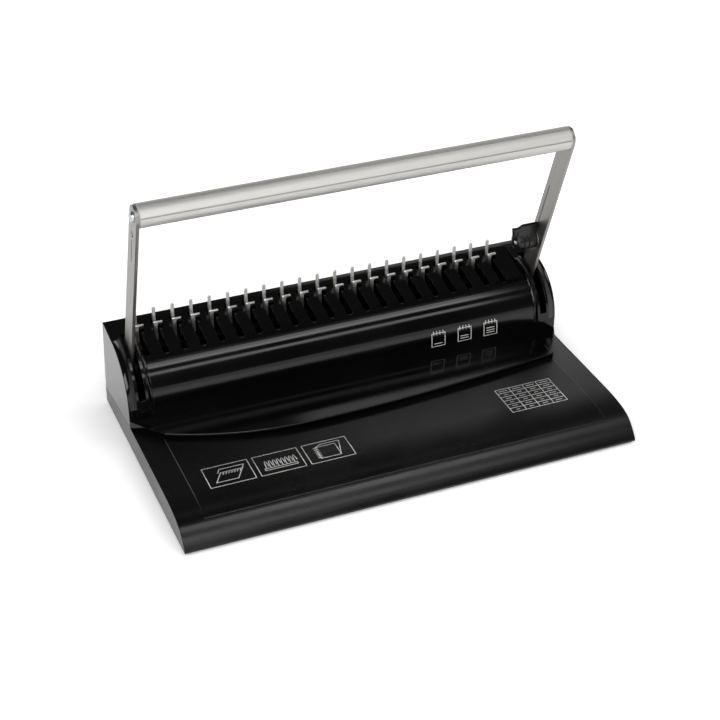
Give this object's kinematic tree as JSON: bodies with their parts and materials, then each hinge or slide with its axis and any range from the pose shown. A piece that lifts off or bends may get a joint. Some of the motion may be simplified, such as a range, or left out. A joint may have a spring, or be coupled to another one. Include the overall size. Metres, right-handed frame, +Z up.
{
  "type": "comb binding machine",
  "caption": "Desktop plastic-comb binding machine: lever handle drives a row of punches and opens the comb hooks; flat paper table, chip drawer at the side.",
  "frame": {"origin": "middle of the footprint on the floor", "axes": "+X to the operator's right along the comb, +Y to the back, +Z up"},
  "size_m": [0.344, 0.197, 0.2075],
  "materials": {
    "casing_plastic": "gloss",
    "panel_plastic": "satin",
    "black_plastic": "satin",
    "sheet_steel": "matt paint",
    "foot_rubber": "matt",
    "machined_steel": "brushed",
    "bright_steel": "nickel plated",
    "fastener_steel": "zinc plated",
    "tube_aluminium": "satin anodised"
  },
  "bodies": {
    "casing": {"base_housing": "casing_plastic", "bottom_plate": "sheet_steel", "rubber_feet": "foot_rubber", "base_screws": "fastener_steel", "table_panel": "panel_plastic", "hood_cover": "casing_plastic", "left_end_cap": "casing_plastic", "right_end_cap": "casing_plastic", "left_side_frame": "sheet_steel", "right_side_frame": "sheet_steel", "shaft_bushes": "black_plastic", "frame_screws": "fastener_steel", "die_supports": "machined_steel", "die_plate": "machined_steel", "paper_back_stop": "machined_steel", "punch_guide_plate": "machined_steel", "paper_edge_stop": "machined_steel", "guide_posts": "machined_steel", "comb_finger_bar": "bright_steel", "comb_fingers": "bright_steel", "hook_rails": "black_plastic", "ram_springs": "fastener_steel", "hook_springs": "fastener_steel"},
    "handle": {"handle_tube": "tube_aluminium", "tube_end_plugs": "black_plastic", "left_arm": "machined_steel", "right_arm": "machined_steel", "tube_screws": "fastener_steel", "drive_shaft": "machined_steel", "arm_bolts": "fastener_steel", "punch_cams": "machined_steel", "opener_levers": "machined_steel", "knob_screw": "fastener_steel"},
    "punch_ram": {"pressure_bar": "machined_steel", "punch_pins": "bright_steel"},
    "hook_slide": {"hook_plate": "bright_steel", "comb_hooks": "bright_steel"},
    "stop_knob": {"stop_knob": "black_plastic"},
    "chip_drawer": {"chip_drawer": "black_plastic"}
  },
  "joints": [
    {"name": "handle_swing", "type": "hinge", "parent": "casing", "child": "handle", "pos_m": [0, 0.065, 0.048], "axis": [1, 0, 0], "range_deg": [-17, 66]},
    {"name": "ram_stroke", "type": "slide", "parent": "casing", "child": "punch_ram", "axis": [0, 0, -1], "range_m": [-0.0016, 0.0061], "deforming": ["ram_springs"]},
    {"name": "hook_travel", "type": "slide", "parent": "casing", "child": "hook_slide", "axis": [0, -1, 0], "range_m": [-0.0043, 0.0165], "deforming": ["hook_springs"]},
    {"name": "knob_turn", "type": "hinge", "parent": "handle", "child": "stop_knob", "pos_m": [0.155, 0.05091, 0.09731], "axis": [1, 0, 0], "range_deg": [-45, 45]},
    {"name": "drawer_travel", "type": "slide", "parent": "casing", "child": "chip_drawer", "axis": [1, 0, 0], "range_m": [0, 0.18]}
  ],
  "couplings": [
    {"joint": "ram_stroke", "follows": "handle_swing", "m_per_rad": 0.0052087},
    {"joint": "hook_travel", "follows": "handle_swing", "m_per_rad": 0.0142}
  ]
}
